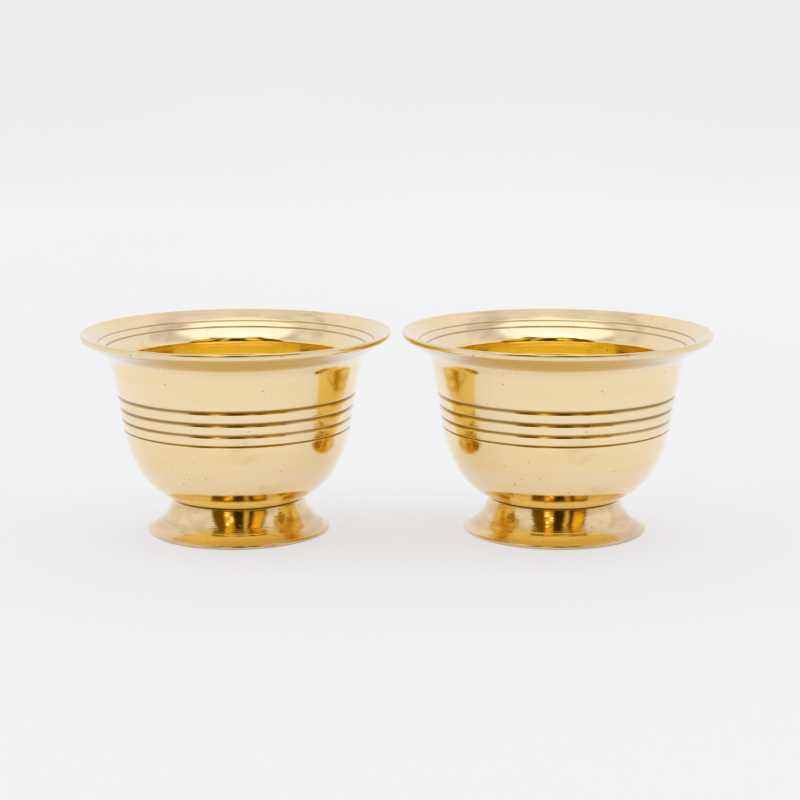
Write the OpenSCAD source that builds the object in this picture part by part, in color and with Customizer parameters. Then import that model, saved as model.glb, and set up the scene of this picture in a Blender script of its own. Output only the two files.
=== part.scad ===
// A matching pair of footed brass bowls. Each bowl is a turned cup with a
// flared lip, a band of grooves and two engraved lines, brazed to a hollow
// trumpet-shaped foot. Millimetres, +Z up, the table is z = 0 and the origin
// is on the table, midway between the two bowls.

/* [Pair] */
// Distance between the axes of the two bowls
axis_spacing = 82.6; // [81:0.2:110]

/* [Rim] */
// Diameter across the rim
rim_d = 80; // [79:0.2:81]
// Height of the rim above the table
bowl_h = 52.2; // [51.4:0.2:58]
// Thickness of the rim's edge, measured upright
rim_t = 1.6; // [1.5:0.1:1.8]
// Radius of the rounding on the rim's edge
rim_round = 0.5; // [0.3:0.05:0.6]

/* [Flare] */
// Slope of the lip's underside above level
lip_slope = 31; // [29:0.5:33]
// Length of the straight part of the lip's underside
lip_len = 5.8; // [5.4:0.1:6.2]
// Radius of the curve between the wall and the lip
flare_r = 5; // [4.5:0.25:5.5]
// Diameter of the throat, where the lip's upper face meets the inside wall
throat_d = 61.3; // [60.5:0.1:61.6]
// Depth of the throat below the rim
throat_depth = 7.2; // [7:0.1:7.5]
// Half of the angle that the lip's upper face turns through
lip_turn = 10; // [8:0.5:12]
// Radii of the two engraved lines on the lip's upper face
line_radii = [35.5, 33.7]; // [33:0.1:37.5]
// Width of an engraved line
line_w = 0.55; // [0.2:0.05:0.6]
// Depth of an engraved line
line_depth = 0.12; // [0.05:0.01:0.2]

/* [Body] */
// Heading of the wall at its top, 90 being upright
wall_top = 77.5; // [76.5:0.5:78.5]
// Heading of the wall at its foot, 90 being upright
wall_low = 82.5; // [81.5:0.5:83.5]
// Radius of the wall's gentle hollow
wall_bow_r = 195; // [185:1:205]
// Radius of the shoulder below the wall
shoulder_r = 31; // [30.5:0.1:31.5]
// Radius of the round bottom
belly_r = 18; // [17.5:0.1:18.5]
// Heading at which the shoulder gives way to the bottom
belly_top = 61; // [60:0.5:62]
// Thickness of the bottom and the lower wall
wall_t = 1.7; // [1.4:0.1:1.9]
// Length of the steep stretch inside, just below the throat
collar_len = 4; // [3:0.25:5]
// Lean of that stretch from upright
collar_lean = 4.3; // [3:0.1:5]

/* [Grooves] */
// Heights of the grooves' centres above the table, from the highest down
groove_z = [36.3, 33.2, 30.25, 27.6]; // [26:0.05:38]
// Widths of the grooves
groove_w = [1.25, 1.25, 1.05, 0.6]; // [0.4:0.05:1.4]
// Depths of the grooves
groove_depth = [0.36, 0.36, 0.31, 0.2]; // [0.1:0.01:0.4]
// Share of a groove's width that lies below its root
groove_root = 0.55; // [0.4:0.05:0.6]

/* [Foot] */
// Diameter of the foot where it stands
base_d = 47.6; // [46:0.2:49]
// Diameter of the neck, where the foot meets the bowl
neck_d = 34.2; // [33:0.2:36]
// Thickness of the foot at the neck, measured level
neck_t = 1.9; // [1.5:0.1:2.2]
// Width of the flat ring that the foot stands on
rest_w = 1.9; // [1.5:0.1:2.2]
// Height of the foot's upright edge
edge_h = 1; // [0.9:0.05:1.3]
// Radius of the rounding under that edge
edge_round = 0.45; // [0.3:0.05:0.5]
// Lean of the skirt from upright at the neck
neck_lean = 12; // [8:0.5:18]
// Width of the braze fillet along the bowl, measured level
braze_w = 1.1; // [0.8:0.1:1.4]

/* [Hidden] */
$fn = 128;
EDGE_STEPS = 4;
CURVE_STEPS = 8;
SKIRT_STEPS = 8;
WALL_STEP = 2;
BRASS = [0.86, 0.70, 0.36];
FILLER = [0.78, 0.66, 0.42];

rim_r = rim_d / 2;
neck_r = neck_d / 2;
base_r = base_d / 2;
seat_r = neck_r - neck_t;

// An outline is a half section, with points [radius, height]. A heading is the
// outline's slope from level, going outward: 0 is level and 90 upright.
function along(heading) = [cos(heading), sin(heading)];
function left_of(heading) = [-sin(heading), cos(heading)];
function right_of(heading) = [sin(heading), -cos(heading)];

// Arcs between two headings, with the centre on the left or on the right.
// first = 1 leaves out the first point where the outline already has it.
function arc_round_left(centre, radius, from, to, steps, first = 0) =
    [for (i = [first : steps]) centre + radius * right_of(from + (to - from) * i / steps)];
function arc_round_right(centre, radius, from, to, steps, first = 0) =
    [for (i = [first : steps]) centre + radius * left_of(from + (to - from) * i / steps)];

// Outside of the bowl, worked out downward from the rim
lip_low_centre = [rim_r - rim_round, bowl_h - rim_t + rim_round];
lip_end = lip_low_centre + rim_round * right_of(lip_slope) - lip_len * along(lip_slope);
flare_centre = lip_end + flare_r * right_of(lip_slope);
wall_start = flare_centre + flare_r * left_of(wall_top);
wall_centre = wall_start + wall_bow_r * right_of(wall_top);
shoulder_start = wall_centre + wall_bow_r * left_of(wall_low);
shoulder_centre = shoulder_start + shoulder_r * left_of(wall_low);
belly_start = shoulder_centre + shoulder_r * right_of(belly_top);
belly_centre = belly_start + belly_r * left_of(belly_top);

// Headings of the shoulder at a height and of the round bottom at a radius
function shoulder_heading(z) = acos((shoulder_centre[1] - z) / shoulder_r);
function belly_heading(r) = asin((r - belly_centre[0]) / belly_r);
function belly_point(r) = belly_centre + belly_r * right_of(belly_heading(r));

// Radius of the plain wall or shoulder at a height
function wall_radius(z) =
    z > shoulder_start[1]
        ? wall_centre[0] - sqrt(pow(wall_bow_r, 2) - pow(z - wall_centre[1], 2))
        : shoulder_centre[0] + shoulder_r * sin(shoulder_heading(z));

// The lower edge, root and upper edge of groove i
function groove(i) =
    let (low = groove_z[i] - groove_w[i] / 2,
         root = low + groove_root * groove_w[i],
         high = low + groove_w[i])
    [[wall_radius(low), low],
     [wall_radius(root) - groove_depth[i], root],
     [wall_radius(high), high]];

// Upper face of the lip: one arc from the throat to the rim's rounding
throat = [throat_d / 2, bowl_h - throat_depth];
rim_top_centre = [rim_r - rim_round, bowl_h - rim_round];
lip_chord = rim_top_centre + [0, rim_round] - throat;
lip_mid_slope = atan2(lip_chord[1], lip_chord[0]);
lip_top = rim_top_centre + rim_round * left_of(lip_mid_slope - lip_turn);
lip_face_r = norm(lip_top - throat) / (2 * sin(lip_turn));
lip_face_centre = throat + lip_face_r * right_of(lip_mid_slope + lip_turn);
function lip_face_point(r) =
    [r, lip_face_centre[1] + sqrt(pow(lip_face_r, 2) - pow(r - lip_face_centre[0], 2))];

// An engraved line across radius r, from its outer edge to its inner edge
function engraved_line(r) =
    [lip_face_point(r + line_w / 2),
     lip_face_point(r) - [0, line_depth],
     lip_face_point(r - line_w / 2)];

// Inside of the bowl
collar_foot = throat - collar_len * along(90 - collar_lean);
inner_shoulder_r = shoulder_r - wall_t;
inner_belly_r = belly_r - wall_t;

// Where the foot meets the bowl: both parts use these points
seat_points = [for (i = [0 : 2]) belly_point(seat_r + neck_t * i / 2)];

// The foot's hollow curve: an arc from a low point up to a high point, where
// it leans by neck_lean
function skirt(low, high) =
    let (half_turn = atan2(low[0] - high[0], high[1] - low[1]) - neck_lean,
         radius = norm(high - low) / (2 * sin(half_turn)),
         centre = high + radius * along(neck_lean))
    [for (i = [SKIRT_STEPS : -1 : 0])
        centre - radius * along(neck_lean + 2 * half_turn * i / SKIRT_STEPS)];
rest_inner = [base_r - edge_round - rest_w, 0];
skirt_start = [base_r - edge_round / 2, edge_h];
inner_skirt = skirt(rest_inner, seat_points[0]);

module bowl() {
    groove_start = shoulder_heading(groove_z[3] - groove_w[3]);
    outline = concat(
        [[0, belly_centre[1] - belly_r]],
        arc_round_left(belly_centre, belly_r, 0, belly_heading(seat_r - braze_w), EDGE_STEPS),
        seat_points,
        arc_round_left(belly_centre, belly_r, belly_heading(neck_r), belly_top, CURVE_STEPS, 1),
        arc_round_left(shoulder_centre, shoulder_r, belly_top, groove_start, CURVE_STEPS, 1),
        [for (i = [3 : -1 : 0]) each groove(i)],
        [for (z = [groove_z[0] + WALL_STEP : WALL_STEP : wall_start[1] - 1]) [wall_radius(z), z]],
        arc_round_right(flare_centre, flare_r, wall_top, lip_slope, CURVE_STEPS),
        arc_round_left(lip_low_centre, rim_round, lip_slope, 90, EDGE_STEPS),
        arc_round_left(rim_top_centre, rim_round, 90, 180 + lip_mid_slope - lip_turn, EDGE_STEPS),
        [lip_face_point((lip_top[0] + line_radii[0]) / 2)],
        engraved_line(line_radii[0]),
        engraved_line(line_radii[1]),
        [lip_face_point((throat[0] + line_radii[1]) / 2)],
        [throat, collar_foot],
        arc_round_left(shoulder_centre, inner_shoulder_r, wall_low, belly_top, CURVE_STEPS),
        arc_round_left(belly_centre, inner_belly_r, belly_top, 0, CURVE_STEPS, 1),
        [[0, belly_centre[1] - inner_belly_r]]);
    color(BRASS) rotate_extrude() polygon(outline);
}

module foot() {
    outline = concat(
        [rest_inner],
        arc_round_left([base_r - edge_round, edge_round], edge_round, 0, 90, EDGE_STEPS),
        [[base_r, edge_h - edge_round / 2]],
        skirt(skirt_start, seat_points[2]),
        [seat_points[1]],
        [for (i = [SKIRT_STEPS : -1 : 1]) inner_skirt[i]]);
    color(BRASS) rotate_extrude() polygon(outline);
}

// The fillet of filler metal in the corner under the bowl, inside the foot
module braze_ring() {
    corner = seat_points[0];
    on_bowl = belly_point(seat_r - braze_w);
    on_foot = inner_skirt[SKIRT_STEPS - 1];
    hollow = (corner + on_bowl + on_foot) / 3;
    color(FILLER) rotate_extrude() polygon([corner, on_bowl, hollow, on_foot]);
}

module at_left() { translate([-axis_spacing / 2, 0, 0]) children(); }
module at_right() { translate([axis_spacing / 2, 0, 0]) children(); }

at_left() bowl();  // left_bowl
at_left() foot();  // left_foot
at_left() braze_ring();  // left_braze_ring
at_right() bowl();  // right_bowl
at_right() foot();  // right_foot
at_right() braze_ring();  // right_braze_ring
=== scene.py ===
"""A matching pair of footed brass bowls, turned and polished, on a plain white studio floor."""

import math
import random

import bpy
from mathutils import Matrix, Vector


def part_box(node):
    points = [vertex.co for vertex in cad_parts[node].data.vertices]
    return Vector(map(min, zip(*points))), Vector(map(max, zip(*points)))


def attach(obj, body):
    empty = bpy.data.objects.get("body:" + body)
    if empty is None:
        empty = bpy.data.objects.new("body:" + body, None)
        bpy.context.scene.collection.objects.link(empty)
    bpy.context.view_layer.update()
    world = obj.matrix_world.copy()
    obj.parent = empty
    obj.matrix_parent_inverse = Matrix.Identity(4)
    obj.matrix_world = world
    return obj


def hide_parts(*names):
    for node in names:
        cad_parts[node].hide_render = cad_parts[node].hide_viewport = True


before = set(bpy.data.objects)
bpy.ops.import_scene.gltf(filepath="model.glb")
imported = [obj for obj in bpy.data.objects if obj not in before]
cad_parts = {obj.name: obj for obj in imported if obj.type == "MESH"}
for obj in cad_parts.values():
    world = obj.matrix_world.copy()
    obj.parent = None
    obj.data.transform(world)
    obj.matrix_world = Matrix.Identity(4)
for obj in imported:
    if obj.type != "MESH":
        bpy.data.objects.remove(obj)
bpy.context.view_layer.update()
MM = 0.001


# ---------------------------------------------------------------- sizes

SIDES = ("left", "right")
SEEDS = {"left": 3, "right": 11}
SEGMENTS = 288           # round the axis
STEP = 0.6               # between two points of a smooth outline, mm
FINE_STEP = 0.12         # where the turning ridges are, mm

# The bowls' own frame, read from the CAD model, in millimetres.
left_low, left_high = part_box("left_bowl")
foot_low, foot_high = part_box("left_foot")
RIM_R = (left_high.x - left_low.x) / 2 / MM
BOWL_H = left_high.z / MM
UNDERSIDE_Z = left_low.z / MM
BASE_R = (foot_high.x - foot_low.x) / 2 / MM

# Rim and flare, as the CAD model has them
RIM_T = 1.6
RIM_ROUND = 0.5
LIP_SLOPE = 31
LIP_LEN = 5.8
FLARE_R = 5
THROAT_R = 30.65
THROAT_DEPTH = 7.2
THROAT_ROUND = 0.55
LIP_TURN = 10
LINE_RADII = (35.5, 33.7)
LINE_W = 0.55
LINE_DEPTH = 0.12

# Body
WALL_TOP = 77.5
WALL_LOW = 82.5
WALL_BOW_R = 195
SHOULDER_R = 31
BELLY_R = 18
BELLY_TOP = 61
WALL_T = 1.7
COLLAR_LEN = 4
COLLAR_LEAN = 4.3

# Grooves, from the highest down: height, width and depth
GROOVES = ((36.3, 1.25, 0.36), (33.2, 1.25, 0.36), (30.25, 1.05, 0.31), (27.6, 0.6, 0.2))
GROOVE_ROOT = 0.55
GROOVE_ROUND = 0.12

# Foot
NECK_R = 17.1
NECK_T = 1.9
REST_W = 1.9
EDGE_H = 1.0
EDGE_ROUND = 0.45
NECK_LEAN = 12           # of the skirt, from upright
BRAZE_W = 1.1
SEAM_NOTCH = 0.22        # the fine step where foot and bowl meet


# ---------------------------------------------------------------- outlines
# An outline is a half section, with points (radius, height) in mm. A heading is its slope from
# level, going outward, in degrees: 0 is level and 90 upright.

def along(heading):
    return Vector((math.cos(math.radians(heading)), math.sin(math.radians(heading))))


def left_of(heading):
    return along(heading + 90)


def right_of(heading):
    return along(heading - 90)


def arc(centre, radius, start, end, step=STEP):
    """Points on a circle, from one angle to another, no more than a step apart."""
    count = max(3, math.ceil(abs(math.radians(end - start)) * radius / step))
    return [centre + radius * along(start + (end - start) * i / count) for i in range(count + 1)]


def arc_round_left(centre, radius, start, end, step=STEP):
    """An arc between two headings, with its centre on the left."""
    return arc(centre, radius, start - 90, end - 90, step)


def arc_round_right(centre, radius, start, end, step=STEP):
    """The same, with its centre on the right."""
    return arc(centre, radius, start + 90, end + 90, step)


# The outside of the bowl, worked out downward from the rim
lip_low_centre = Vector((RIM_R - RIM_ROUND, BOWL_H - RIM_T + RIM_ROUND))
lip_end = lip_low_centre + RIM_ROUND * right_of(LIP_SLOPE) - LIP_LEN * along(LIP_SLOPE)
flare_centre = lip_end + FLARE_R * right_of(LIP_SLOPE)
wall_start = flare_centre + FLARE_R * left_of(WALL_TOP)
wall_centre = wall_start + WALL_BOW_R * right_of(WALL_TOP)
shoulder_start = wall_centre + WALL_BOW_R * left_of(WALL_LOW)
shoulder_centre = shoulder_start + SHOULDER_R * left_of(WALL_LOW)
belly_start = shoulder_centre + SHOULDER_R * right_of(BELLY_TOP)
belly_centre = belly_start + BELLY_R * left_of(BELLY_TOP)

# The lip's upper face is one arc from the throat to the rim's rounding
throat = Vector((THROAT_R, BOWL_H - THROAT_DEPTH))
rim_top_centre = Vector((RIM_R - RIM_ROUND, BOWL_H - RIM_ROUND))
lip_chord = rim_top_centre + Vector((0, RIM_ROUND)) - throat
lip_mid_slope = math.degrees(math.atan2(lip_chord.y, lip_chord.x))
lip_top = rim_top_centre + RIM_ROUND * left_of(lip_mid_slope - LIP_TURN)
lip_face_r = (lip_top - throat).length / (2 * math.sin(math.radians(LIP_TURN)))
lip_face_centre = throat + lip_face_r * right_of(lip_mid_slope + LIP_TURN)


def wall_radius(z):
    """Radius of the plain wall or shoulder at a height."""
    if z > shoulder_start.y:
        return wall_centre.x - math.sqrt(WALL_BOW_R ** 2 - (z - wall_centre.y) ** 2)
    return shoulder_centre.x + math.sqrt(SHOULDER_R ** 2 - (z - shoulder_centre.y) ** 2)


def shoulder_heading(z):
    """The shoulder's heading at a height."""
    return math.degrees(math.acos((shoulder_centre.y - z) / SHOULDER_R))


def belly_heading(r):
    """The round bottom's heading at a radius."""
    return math.degrees(math.asin((r - belly_centre.x) / BELLY_R))


def belly_point(r):
    return belly_centre + BELLY_R * right_of(belly_heading(r))


NECK_Z = belly_point(NECK_R).y


def lip_face_point(r):
    """The point of the lip's upper face at a radius."""
    drop = math.sqrt(lip_face_r ** 2 - (r - lip_face_centre.x) ** 2)
    return Vector((r, lip_face_centre.y + drop))


def straight(a, b, step=STEP):
    """Points between a and b, without the two ends."""
    count = max(1, math.ceil((b - a).length / step))
    return [a.lerp(b, i / count) for i in range(1, count)]


def eased_corner(before, corner, after, radius):
    """A corner rounded off by a short curve that leaves both its sides smoothly."""
    start = corner + (before - corner).normalized() * min(radius, (before - corner).length / 2)
    end = corner + (after - corner).normalized() * min(radius, (after - corner).length / 2)
    curve = []
    for i in range(5):
        t = i / 4
        curve.append(start * (1 - t) ** 2 + corner * 2 * t * (1 - t) + end * t ** 2)
    return curve


def with_round_corners(points, radius):
    """The points, with each one between the first and the last rounded off."""
    rounded = [points[0]]
    for before, corner, after in zip(points, points[1:], points[2:]):
        rounded += eased_corner(before, corner, after, radius)
    return rounded + [points[-1]]


def groove(height, width, depth):
    """A groove in the wall, from its lower edge to its upper one."""
    low = height - width / 2
    root = low + GROOVE_ROOT * width
    high = low + width
    land = width / 2
    return with_round_corners(
        [Vector((wall_radius(low - land), low - land)),
         Vector((wall_radius(low), low)),
         Vector((wall_radius(root) - depth, root)),
         Vector((wall_radius(high), high)),
         Vector((wall_radius(high + land), high + land))], GROOVE_ROUND)


def engraved_line(r):
    """A fine line across the lip's upper face, from its outer edge to its inner one."""
    return with_round_corners(
        [lip_face_point(r + LINE_W),
         lip_face_point(r + LINE_W / 2),
         lip_face_point(r) - Vector((0, LINE_DEPTH)),
         lip_face_point(r - LINE_W / 2),
         lip_face_point(r - LINE_W)], LINE_W / 5)


def outside_of_wall():
    """From the lowest groove up to the flare."""
    points = []
    for height, width, depth in reversed(GROOVES):
        cut = groove(height, width, depth)
        if points:
            points += wall_between(points[-1].y, cut[0].y)
        points += cut
    return points + wall_between(points[-1].y, wall_start.y)


def wall_between(low, high):
    """The plain wall between two heights, without its ends."""
    count = max(1, math.ceil((high - low) / STEP))
    heights = [low + (high - low) * i / count for i in range(1, count)]
    return [Vector((wall_radius(z), z)) for z in heights]


def lip_face(start, end):
    """The lip's upper face between two radii, going inward, without its ends."""
    count = max(1, math.ceil((start - end) / STEP))
    return [lip_face_point(start + (end - start) * i / count) for i in range(1, count)]


def bowl_outside():
    """From the middle of the underside up to the rim's edge."""
    groove_start = shoulder_heading(groove(*GROOVES[-1])[0].y)
    points = arc_round_left(belly_centre, BELLY_R, belly_heading(0.01), BELLY_TOP)
    points[0] = Vector((0, UNDERSIDE_Z))
    points += arc_round_left(shoulder_centre, SHOULDER_R, BELLY_TOP, groove_start)[1:-1]
    points += outside_of_wall()
    points += arc_round_right(flare_centre, FLARE_R, WALL_TOP, LIP_SLOPE, STEP / 2)
    points += straight(points[-1], lip_low_centre + RIM_ROUND * right_of(LIP_SLOPE))
    points += arc_round_left(lip_low_centre, RIM_ROUND, LIP_SLOPE, 90, FINE_STEP)
    return points


def bowl_inside():
    """From the rim's edge down to the middle of the bowl's floor."""
    outer, inner = (engraved_line(r) for r in LINE_RADII)
    collar = throat - COLLAR_LEN * along(90 - COLLAR_LEAN)
    inner_shoulder = SHOULDER_R - WALL_T
    inner_belly = BELLY_R - WALL_T
    points = arc_round_left(rim_top_centre, RIM_ROUND, 90, 180 + lip_mid_slope - LIP_TURN, FINE_STEP)
    points += lip_face(points[-1].x, outer[0].x) + outer
    points += lip_face(outer[-1].x, inner[0].x) + inner
    points += lip_face(inner[-1].x, throat.x + THROAT_ROUND)
    lip_foot = lip_face_point(throat.x + THROAT_ROUND)
    points += eased_corner(lip_foot, throat, collar, THROAT_ROUND)
    shoulder = arc_round_left(shoulder_centre, inner_shoulder, WALL_LOW, BELLY_TOP)
    points += straight(points[-1], collar) + [collar]
    points += straight(collar, shoulder[0]) + shoulder
    points += arc_round_left(belly_centre, inner_belly, BELLY_TOP, belly_heading(0.01))[1:]
    points[-1] = Vector((0, belly_centre.y - inner_belly))
    return points


def skirt(low, high, step=STEP):
    """The foot's hollow curve: an arc from a low point up to a high point, where it leans by NECK_LEAN."""
    chord = high - low
    half_turn = math.degrees(math.atan2(-chord.x, chord.y)) - NECK_LEAN
    radius = chord.length / (2 * math.sin(math.radians(half_turn)))
    centre = high + radius * along(NECK_LEAN)
    return arc(centre, radius, 180 + NECK_LEAN + 2 * half_turn, 180 + NECK_LEAN, step)


def foot_outside():
    """From the resting ring up to the seam."""
    points = arc(Vector((BASE_R - EDGE_ROUND, EDGE_ROUND)), EDGE_ROUND, -90, 0, FINE_STEP)
    lip = Vector((BASE_R, EDGE_H - EDGE_ROUND / 2))
    start = Vector((BASE_R - EDGE_ROUND / 2, EDGE_H))
    curve = skirt(start, belly_point(NECK_R), step=FINE_STEP)
    points += eased_corner(points[-1], lip, curve[1], EDGE_ROUND / 2)
    seam = [point for point in curve if point.y < NECK_Z - SEAM_NOTCH]
    return points + seam + [Vector((NECK_R - SEAM_NOTCH, NECK_Z - SEAM_NOTCH / 4))]


def foot_inside():
    """From the bowl down to the resting ring."""
    seat = belly_point(NECK_R - NECK_T)
    rest_inner = Vector((BASE_R - EDGE_ROUND - REST_W, 0))
    return list(reversed(skirt(rest_inner, seat)))


def braze_outline():
    """The fillet under the bowl: hollow, as filler metal sets."""
    corner = belly_point(NECK_R - NECK_T)
    on_bowl = belly_point(NECK_R - NECK_T - BRAZE_W)
    on_foot = foot_inside()[2]
    middle = (corner + on_bowl + on_foot) / 3
    hollow = []
    for i in range(9):
        t = i / 8
        hollow.append(on_bowl * (1 - t) ** 2 + middle * 2 * t * (1 - t) + on_foot * t ** 2)
    return [corner] + hollow


# ---------------------------------------------------------------- turning

def waves(seed, count, lowest, highest):
    """Seeded sine waves, as (turns, phase, share) for each."""
    draw = random.Random(seed)
    return [(draw.randint(lowest, highest), draw.uniform(0, math.tau), draw.uniform(0.4, 1) / count)
            for _ in range(count)]


def wave_sum(made, angle, drift=0.0):
    """The height of seeded waves at an angle round the axis."""
    return sum(share * math.sin(turns * angle + phase + drift) for turns, phase, share in made)


def ridges(seed, distance):
    """Height from -1 to 1 of the cutter's marks at a distance along the outline, in mm."""
    draw = random.Random(seed)
    total = 0
    for length in (0.55, 0.83, 1.37, 2.6):
        total += math.sin(math.tau * distance / length + draw.uniform(0, math.tau)) * draw.uniform(0.5, 1)
    return total / 4


def outline_normals(points, closed):
    """The direction to the right of the way along the outline, at each point."""
    normals = []
    last = len(points) - 1
    for i in range(len(points)):
        before = points[i - 1] if i or closed else points[i]
        after = points[(i + 1) % len(points)] if i < last or closed else points[i]
        way = after - before
        normals.append(Vector((way.y, -way.x)).normalized())
    return normals


def distances(points):
    """How far along the outline each point is."""
    total = [0.0]
    for a, b in zip(points, points[1:]):
        total.append(total[-1] + (b - a).length)
    return total


def turned(name, axis_x, points, closed, seed, wobble, ridge, dirt_and_shade, segments=SEGMENTS):
    """A solid of revolution about an upright axis. wobble is how far it strays from round, and
    ridge(distance) how high the turning marks stand, both in mm. Two attributes are kept for the
    material: "along" is the distance along the outline in metres, and the other is 0 where the metal
    is bright and 1 where its colour is darkened: grime in the hollows that a polishing cloth misses,
    with painted shade in the grooves, under the lip and where the foot meets the table."""
    broad = waves(seed, 5, 2, 7)
    close = waves(seed + 1, 6, 9, 31)
    normals = outline_normals(points, closed)
    lengths = distances(points)
    vertices = []
    along_values = []
    dirt_and_shade_values = []
    rows = []
    for point, normal, length in zip(points, normals, lengths):
        on_axis = point.x < 1e-6
        row = []
        marks = ridge(length)
        dirt_and_shade_here = dirt_and_shade(point)
        for k in range(1 if on_axis else segments):
            angle = math.tau * k / segments
            out = wobble * (wave_sum(broad, angle, length / 9) + 0.35 * wave_sum(close, angle, length / 2))
            out += marks * (1 + 0.5 * wave_sum(close, angle, length))
            r = 0 if on_axis else point.x + normal.x * out
            z = point.y if on_axis else point.y + normal.y * out
            row.append(len(vertices))
            vertices.append((r * math.cos(angle) * MM, r * math.sin(angle) * MM, z * MM))
            along_values.append(length * MM)
            dirt_and_shade_values.append(dirt_and_shade_here)
        rows.append(row)
    faces = []
    pairs = list(zip(rows, rows[1:] + rows[:1]))
    for low, high in pairs if closed else pairs[:-1]:
        faces += strip(low, high, segments)
    mesh = bpy.data.meshes.new(name)
    mesh.from_pydata(vertices, [], faces)
    mesh.attributes.new("along", "FLOAT", "POINT").data.foreach_set("value", along_values)
    mesh.attributes.new("dirt_and_shade", "FLOAT", "POINT").data.foreach_set("value", dirt_and_shade_values)
    mesh.polygons.foreach_set("use_smooth", [True] * len(faces))
    mesh.update()
    piece = bpy.data.objects.new(name, mesh)
    piece.location = (axis_x, 0, 0)
    bpy.context.scene.collection.objects.link(piece)
    return piece


def strip(low, high, segments):
    """Faces between two rings of the outline, one of which may be a point on the axis."""
    faces = []
    for k in range(segments):
        n = (k + 1) % segments
        if len(low) == 1:
            faces.append((low[0], high[n], high[k]))
        elif len(high) == 1:
            faces.append((low[k], low[n], high[0]))
        else:
            faces.append((low[k], low[n], high[n], high[k]))
    return faces


# ---------------------------------------------------------------- materials

class Nodes:
    """A short way to build a node tree."""

    def __init__(self, tree):
        self.tree = tree
        self.tree.nodes.clear()

    def add(self, kind):
        return self.tree.nodes.new(kind)

    def attribute(self, name):
        node = self.add("ShaderNodeAttribute")
        node.attribute_name = name
        return node.outputs["Fac"]

    def join(self, source, target):
        self.tree.links.new(source, target)

    def math(self, operation, a, b=None):
        node = self.add("ShaderNodeMath")
        node.operation = operation
        for socket, value in zip(node.inputs, (a, b)):
            if value is None:
                continue
            if isinstance(value, (int, float)):
                socket.default_value = value
            else:
                self.join(value, socket)
        return node.outputs[0]

    def ramp(self, value, low, high, out_low=0.0, out_high=1.0):
        """A smooth step from out_low, where value is low, to out_high, where it is high."""
        node = self.add("ShaderNodeMapRange")
        node.interpolation_type = "SMOOTHSTEP"
        node.inputs["From Min"].default_value = low
        node.inputs["From Max"].default_value = high
        node.inputs["To Min"].default_value = out_low
        node.inputs["To Max"].default_value = out_high
        self.join(value, node.inputs["Value"])
        return node.outputs["Result"]

    def blend(self, share, a, b):
        """Colour a where share is 0 and b where it is 1."""
        node = self.add("ShaderNodeMix")
        node.data_type = "RGBA"
        self.join(share, node.inputs[0])
        for socket, value in ((node.inputs[6], a), (node.inputs[7], b)):
            if isinstance(value, tuple):
                socket.default_value = (*value, 1)
            else:
                self.join(value, socket)
        return node.outputs[2]

    def noise(self, vector, scale, detail=3.0, roughness=0.5):
        node = self.add("ShaderNodeTexNoise")
        node.inputs["Scale"].default_value = scale
        node.inputs["Detail"].default_value = detail
        node.inputs["Roughness"].default_value = roughness
        self.join(vector, node.inputs["Vector"])
        return node.outputs["Fac"]


def drawn_out(n, round_share):
    """Coordinates on which noise is drawn out round the axis, by more where round_share is less."""
    parts = n.add("ShaderNodeSeparateXYZ")
    n.join(n.add("ShaderNodeTexCoord").outputs["Object"], parts.inputs[0])
    joined = n.add("ShaderNodeCombineXYZ")
    n.join(n.math("MULTIPLY", parts.outputs["X"], round_share), joined.inputs["X"])
    n.join(n.math("MULTIPLY", parts.outputs["Y"], round_share), joined.inputs["Y"])
    n.join(n.attribute("along"), joined.inputs["Z"])
    return joined.outputs[0]


def bump(n, height, distance, normal=None):
    """A bump as deep as a distance in millimetres, on top of another one if a normal is given."""
    node = n.add("ShaderNodeBump")
    node.inputs["Strength"].default_value = 1
    node.inputs["Distance"].default_value = distance * MM
    n.join(height, node.inputs["Height"])
    if normal:
        n.join(normal, node.inputs["Normal"])
    return node.outputs[0]


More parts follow.
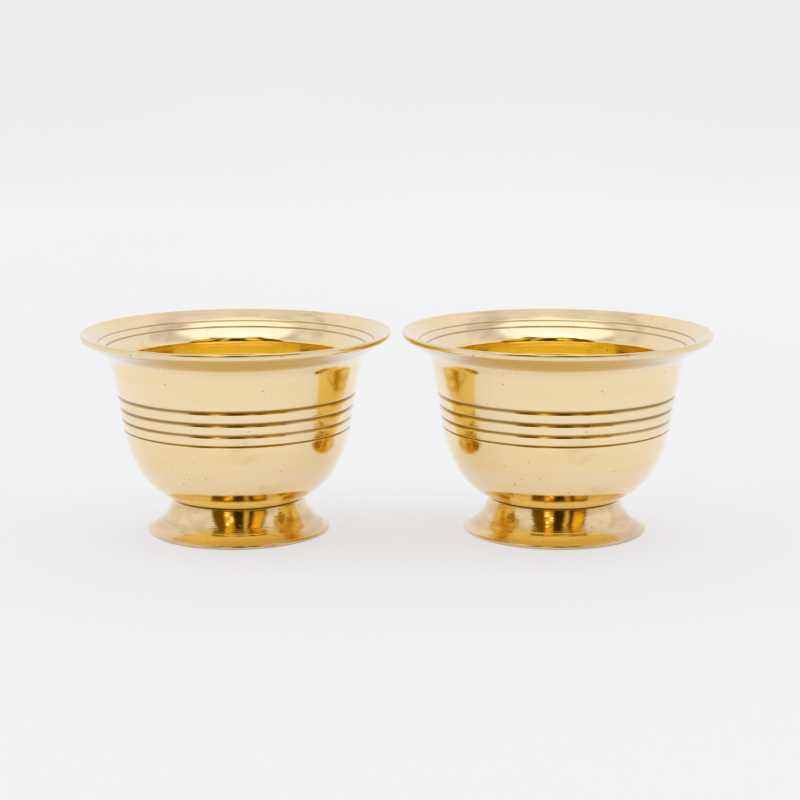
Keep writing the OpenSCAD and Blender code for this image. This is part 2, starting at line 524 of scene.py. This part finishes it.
def brass(name, tone, deep_tone, roughness, line_depth, waviness, inside=None):
    """Polished brass: fine turning lines, soft polishing streaks, small pits, faint stains, and a darker
    tone of grime and painted shade where the mesh's darkening attribute is high. inside is (distance
    along the outline, tone) where a deeper tone begins, a painted reflection for the deeper colour of
    the bowl's reflections in itself."""
    material = bpy.data.materials.new(name)
    material.use_nodes = True
    n = Nodes(material.node_tree)
    place = n.add("ShaderNodeTexCoord").outputs["Object"]
    swept = drawn_out(n, 0.15)
    drawn = drawn_out(n, 0.02)
    bands = n.noise(drawn, 900, 3)
    patches = n.noise(place, 55, 4, 0.6)
    pits = n.ramp(n.noise(place, 900, 1), 0.75, 0.79)
    dirt_and_shade = n.attribute("dirt_and_shade")

    shader = n.add("ShaderNodeBsdfPrincipled")
    shader.inputs["Metallic"].default_value = 1
    shader.inputs["Coat Weight"].default_value = 1
    shader.inputs["Coat Roughness"].default_value = 0.12
    shader.inputs["Coat IOR"].default_value = 1.38

    colour = n.blend(n.ramp(n.noise(swept, 160, 4), 0.35, 0.7), tone, deep_tone)
    pale = n.math("MULTIPLY", n.ramp(n.noise(swept, 70, 3), 0.48, 0.66), 0.45)
    colour = n.blend(pale, colour, BRASS_PALE)
    # The deeper inside tone is painted reflection
    if inside:
        start, inside_reflection_tone = inside
        colour = n.blend(n.ramp(n.attribute("along"), start * MM, (start + 0.4) * MM), colour, inside_reflection_tone)
    colour = n.blend(n.math("MULTIPLY", n.ramp(patches, 0.58, 0.78), 0.25), colour, STAIN)
    colour = n.blend(n.math("MULTIPLY", pits, 0.7), colour, STAIN)
    # Grime and painted shade from the darkening attribute: darker in hollows, in the grooves, under the
    # lip and where the foot meets the table
    dirt_and_shade_share = n.math("MULTIPLY", dirt_and_shade, n.ramp(bands, 0.3, 0.7, 0.7, 1.0))
    n.join(n.blend(dirt_and_shade_share, colour, DIRT_AND_SHADE_TONE), shader.inputs["Base Color"])

    rough = n.math("ADD", n.ramp(bands, 0.3, 0.7, roughness * 0.7, roughness * 1.3),
                   n.math("MULTIPLY", n.ramp(patches, 0.5, 0.8), roughness * 0.6))
    n.join(n.math("ADD", rough, n.math("MULTIPLY", dirt_and_shade, 0.18)), shader.inputs["Roughness"])

    lines = bump(n, n.math("ADD", n.noise(drawn, 5200, 2), n.math("MULTIPLY", pits, -1.5)), line_depth)
    relief = bump(n, n.math("ADD", bands, n.noise(place, 220, 1)), waviness, lines)
    n.join(relief, shader.inputs["Normal"])
    n.join(shader.outputs[0], n.add("ShaderNodeOutputMaterial").inputs["Surface"])
    return material


def floor_material():
    """Matt white acrylic, lit a little from behind so that shadows on it stay faint."""
    material = bpy.data.materials.new("white_floor")
    material.use_nodes = True
    n = Nodes(material.node_tree)
    shader = n.add("ShaderNodeBsdfPrincipled")
    place = n.add("ShaderNodeTexCoord").outputs["Object"]
    shade = n.ramp(n.noise(place, 1.5, 2), 0.3, 0.7)
    n.join(n.blend(shade, (0.42, 0.42, 0.425), (0.45, 0.45, 0.455)), shader.inputs["Base Color"])
    shader.inputs["Roughness"].default_value = 0.9
    shader.inputs["Specular IOR Level"].default_value = 0.1
    shader.inputs["Emission Color"].default_value = (0.98, 1, 1.03, 1)
    shader.inputs["Emission Strength"].default_value = 0.56
    n.join(shader.outputs[0], n.add("ShaderNodeOutputMaterial").inputs["Surface"])
    return material


# ---------------------------------------------------------------- pieces

# The brass's tones
BRASS = (0.97, 0.775, 0.45)
BRASS_DEEP = (0.95, 0.735, 0.385)
BRASS_PALE = (0.96, 0.79, 0.55)
# Deeper tone of the bowl's inside: painted reflection, for the deeper colour of its reflections in itself
INSIDE_PAINTED_REFLECTION = (0.95, 0.72, 0.28)
FOOT_BRASS = (0.90, 0.68, 0.38)
FOOT_DEEP = (0.60, 0.41, 0.23)
BRAZE = (0.80, 0.68, 0.44)
BRAZE_DEEP = (0.72, 0.58, 0.34)
STAIN = (0.42, 0.28, 0.12)
# Tone of grime, and of the painted shade in the grooves, under the lip and at the table
DIRT_AND_SHADE_TONE = (0.28, 0.155, 0.06)

# How far each piece strays from round, and how high the foot's turning ridges stand, in mm
BOWL_WOBBLE = 0.05
FOOT_WOBBLE = 0.04
BRAZE_WOBBLE = 0.03
FOOT_RIDGE = 0.018
BRAZE_SEGMENTS = 192

# Where the brass is darkened, by grime and wear and by painted shade: shares from 0 to 1, and reaches in
# mm
RIM_WEAR = 0.12
# Painted shade under the lip
UNDER_LIP_PAINTED_SHADE = 0.5
FOOT_INSIDE_DIRT = 0.6
BRAZE_DIRT = 0.3
SEAM_REACH = 0.45        # from the seam between bowl and foot
UNDER_REACH = 0.35       # painted shade at the foot's bottom edge, up from the table
GROOVE_GRIME_AND_SHADE = 1.5        # grime with painted shade; above 1, it reaches some way up a groove's sides
LIP_CORE = 0.8           # what lies further than this below the lip's face is its underside


def foot_middle(height):
    """A radius between the foot's two faces at a height."""
    share = max(0, min(1, height / NECK_Z))
    return NECK_R - NECK_T / 2 + (BASE_R - REST_W - NECK_R + NECK_T / 2) * (1 - share) ** 2


def under_lip(point):
    """1 on the straight underside of the lip, falling to 0 in the flare and everywhere else."""
    if not THROAT_R < point.x < RIM_R - RIM_ROUND:
        return 0
    if point.y > lip_face_point(point.x).y - LIP_CORE:
        return 0
    return min(1, max(0, point.x - lip_end.x + 1))


def bowl_dirt_and_shade(point):
    """How dark the bowl's colour is made at a point of its outline: grime with painted shade in the
    grooves, grime in the lines, darker at the seam, wear on the rim's edge and painted shade under the
    lip."""
    # Grime with painted shade in the grooves, deepest at the root
    for height, width, depth in GROOVES:
        sunk = wall_radius(point.y) - point.x if abs(point.y - height) < width else 0
        if 0 < sunk < 1.5 * depth:
            return min(1, GROOVE_GRIME_AND_SHADE * sunk / depth)
    for r in LINE_RADII:
        if abs(point.x - r) < LINE_W and abs(lip_face_point(r).y - point.y) < LINE_W:
            return min(1, max(0, (lip_face_point(point.x).y - point.y) / LINE_DEPTH))
    if point.y < NECK_Z + SEAM_REACH:
        return max(0, 1 - abs(point.x - NECK_R) / SEAM_REACH)
    if point.x > RIM_R - RIM_ROUND / 2:
        return RIM_WEAR
    # Painted shade on the straight underside of the lip
    return UNDER_LIP_PAINTED_SHADE * under_lip(point)


def foot_dirt_and_shade(point):
    """How dark the foot's colour is made: darker at the seam, painted shade where it touches the table,
    and grime on its unpolished inside.
    """
    if point.x < BASE_R - EDGE_ROUND - REST_W / 2 and point.x < foot_middle(point.y):
        return FOOT_INSIDE_DIRT
    seam = 1 - (NECK_Z - point.y) / SEAM_REACH
    # Painted shade at the bottom edge, up from the table
    under = 1 - point.y / UNDER_REACH
    return min(1, max(0, seam, under))


def braze_tarnish(point):
    return BRAZE_DIRT


def no_ridges(distance):
    return 0.0


def foot_ridges(seed):
    """The foot's turning ridges, as a function of the distance along its outline."""
    def height(distance):
        return FOOT_RIDGE * ridges(seed, distance)
    return height


def bowl_material(outline):
    """The bowl's brass, with a deeper tone on its inside from the throat on: painted reflection, for the
    deeper colour of its reflections in itself.
    """
    from_throat = [(point - throat).length for point in outline]
    start = distances(outline)[from_throat.index(min(from_throat))]
    return brass("turned_bowl_brass", BRASS, BRASS_DEEP, 0.10, 0.005, 0.02, (start, INSIDE_PAINTED_REFLECTION))


def make_pair():
    bowl_outline = bowl_outside() + bowl_inside()[1:]
    foot_outline = foot_outside() + foot_inside()
    bowl_brass = bowl_material(bowl_outline)
    foot_brass = brass("turned_foot_brass", FOOT_BRASS, FOOT_DEEP, 0.10, 0.016, 0.03)
    braze = brass("braze_metal", BRAZE, BRAZE_DEEP, 0.28, 0.004, 0.03)
    for side in SIDES:
        low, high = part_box(side + "_bowl")
        axis_x = (low.x + high.x) / 2
        seed = SEEDS[side]
        bowl = turned(side + "_brass_bowl", axis_x, bowl_outline, False, seed, BOWL_WOBBLE, no_ridges,
                      bowl_dirt_and_shade)
        foot = turned(side + "_brass_foot", axis_x, foot_outline, True, seed + 5, FOOT_WOBBLE,
                      foot_ridges(seed), foot_dirt_and_shade)
        fillet = turned(side + "_braze_fillet", axis_x, braze_outline(), True, seed + 9, BRAZE_WOBBLE,
                        no_ridges, braze_tarnish, BRAZE_SEGMENTS)
        finish_piece(bowl, bowl_brass, side, side + "_bowl")
        finish_piece(foot, foot_brass, side, side + "_foot")
        finish_piece(fillet, braze, side, side + "_braze_ring")


def finish_piece(piece, material, body, node):
    """Give the piece its material, and put it on its body in place of the CAD node."""
    piece.data.materials.append(material)
    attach(piece, body)
    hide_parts(node)


# ---------------------------------------------------------------- studio

FLOOR_HALF_WIDTH = 3.0
FLOOR_FRONT = 3.0
SWEEP_START = 0.9
SWEEP_R = 0.6
SWEEP_STEPS = 24
WALL_HEIGHT = 2.5


def make_floor():
    """A white sweep: floor, curve and back wall in one sheet, with its curve well behind the bowls."""
    profile = [(-FLOOR_FRONT, 0.0), (SWEEP_START, 0.0)]
    for i in range(1, SWEEP_STEPS + 1):
        turn = math.radians(90 * i / SWEEP_STEPS)
        profile.append((SWEEP_START + SWEEP_R * math.sin(turn), SWEEP_R * (1 - math.cos(turn))))
    profile.append((SWEEP_START + SWEEP_R, WALL_HEIGHT))
    vertices = [(side * FLOOR_HALF_WIDTH, y, z) for y, z in profile for side in (-1, 1)]
    faces = [(2 * i, 2 * i + 1, 2 * i + 3, 2 * i + 2) for i in range(len(profile) - 1)]
    mesh = bpy.data.meshes.new("studio_sweep")
    mesh.from_pydata(vertices, [], faces)
    mesh.polygons.foreach_set("use_smooth", [True] * len(faces))
    mesh.materials.append(floor_material())
    sweep = bpy.data.objects.new("studio_sweep", mesh)
    bpy.context.scene.collection.objects.link(sweep)


def patch(n, across, up, centre, half, soft):
    """1 inside a soft-edged window of the sky and 0 outside it."""
    from_side = n.math("ABSOLUTE", n.math("SUBTRACT", across, centre[0]))
    from_height = n.math("ABSOLUTE", n.math("SUBTRACT", up, centre[1]))
    beside = n.ramp(from_side, half[0] - soft, half[0] + soft, 1, 0)
    above = n.ramp(from_height, half[1] - soft, half[1] + soft, 1, 0)
    return n.math("MULTIPLY", beside, above)


# The tent's darkest and palest folds, low down and high up
LOW_FOLDS = ((0.76, 0.76, 0.76), (0.90, 0.91, 0.92))
HIGH_FOLDS = ((0.60, 0.60, 0.62), (0.82, 0.83, 0.88))

# The soft box overhead and its brighter front strip: centre, half size and tone. A direction is
# given as x / z and y / z, and nothing lower than LEAST_Z counts as overhead.
OVERHEAD = (
    ((0, -0.06), (0.5, 0.26), (1.2, 1.2, 1.22)),
    ((0, -0.26), (0.3, 0.07), (1.6, 1.6, 1.6)))
LEAST_Z = 0.05

# The opening and the lamps in the dim room behind it: centre and half size, in degrees of azimuth
# and elevation, and tone
OPENING = ((5, 38), (48, 31))
ROOM = (0.035, 0.022, 0.012)
ROOM_LIGHTS = (
    ((-32, 36), (8, 25), (0.16, 0.09, 0.025)),
    ((-14, 38), (8, 27), (0.62, 0.38, 0.09)),
    ((-17, 46), (3, 3), (2.6, 2.2, 1.4)),
    ((-9, 36), (2.5, 4), (2.6, 2.2, 1.4)),
    ((-16, 24), (3, 4), (2.2, 1.8, 1.1)),
    ((18, 40), (4, 28), (0.78, 0.58, 0.38)),
    ((40, 41), (9, 24), (0.92, 0.56, 0.15)))


def tent_colour(n, sky, way, elevation):
    """The folds of the tent's cloth, and the soft box overhead."""
    folds = n.ramp(n.noise(sky, 5, 3), 0.35, 0.65)
    low = n.blend(folds, *LOW_FOLDS)
    high = n.blend(folds, *HIGH_FOLDS)
    colour = n.blend(n.ramp(elevation, 25, 60), low, high)
    height = n.math("MAXIMUM", way["Z"], LEAST_Z)
    across = n.math("DIVIDE", way["X"], height)
    back = n.math("DIVIDE", way["Y"], height)
    for centre, half, tone in OVERHEAD:
        colour = n.blend(patch(n, across, back, centre, half, 0.06), colour, tone)
    return colour


def make_light():
    """A white tent with a soft box overhead, open on the camera's side to a dim room with lamps."""
    world = bpy.data.worlds.new("studio")
    bpy.context.scene.world = world
    world.use_nodes = True
    n = Nodes(world.node_tree)
    sky = n.add("ShaderNodeTexCoord").outputs["Generated"]
    parts = n.add("ShaderNodeSeparateXYZ")
    n.join(sky, parts.inputs[0])
    way = parts.outputs
    azimuth = n.math("DEGREES", n.math("ARCTAN2", way["X"], n.math("MULTIPLY", way["Y"], -1)))
    elevation = n.math("DEGREES", n.math("ARCSINE", way["Z"]))
    colour = tent_colour(n, sky, way, elevation)
    colour = n.blend(patch(n, azimuth, elevation, *OPENING, 3), colour, ROOM)
    for centre, half, tone in ROOM_LIGHTS:
        colour = n.blend(patch(n, azimuth, elevation, centre, half, 1.5), colour, tone)
    light = n.add("ShaderNodeBackground")
    n.join(colour, light.inputs["Color"])
    n.join(light.outputs[0], n.add("ShaderNodeOutputWorld").inputs["Surface"])


# ---------------------------------------------------------------- camera and picture

CAMERA_PLACE = (0.0009, -0.4908, 0.1265)
CAMERA_DOWN = 10.69      # degrees below level
CAMERA_LENS = 86.6
SENSOR_WIDTH = 36


def make_camera():
    data = bpy.data.cameras.new("camera")
    data.lens = CAMERA_LENS
    data.sensor_width = SENSOR_WIDTH
    camera = bpy.data.objects.new("camera", data)
    camera.location = CAMERA_PLACE
    camera.rotation_euler = (math.radians(90 - CAMERA_DOWN), 0, 0)
    bpy.context.scene.collection.objects.link(camera)
    bpy.context.scene.camera = camera


# The picture's grade, as (channel, curve points): green and blue fall away in the shadows, so that
# deep reflections in brass turn orange
GRADE = ((1, ((0.34, 0.305), (0.66, 0.66))), (2, ((0.12, 0.045), (0.36, 0.36))))


def set_picture():
    """Plain colours with the grade, and enough bounces for the bowls' reflections in each other."""
    scene = bpy.context.scene
    scene.cycles.glossy_bounces = 10
    scene.view_settings.view_transform = "Standard"
    scene.view_settings.use_curve_mapping = True
    mapping = scene.view_settings.curve_mapping
    for channel, curve in GRADE:
        for place in curve:
            mapping.curves[channel].points.new(*place)
    mapping.update()


make_camera()
make_pair()
make_floor()
make_light()
set_picture()
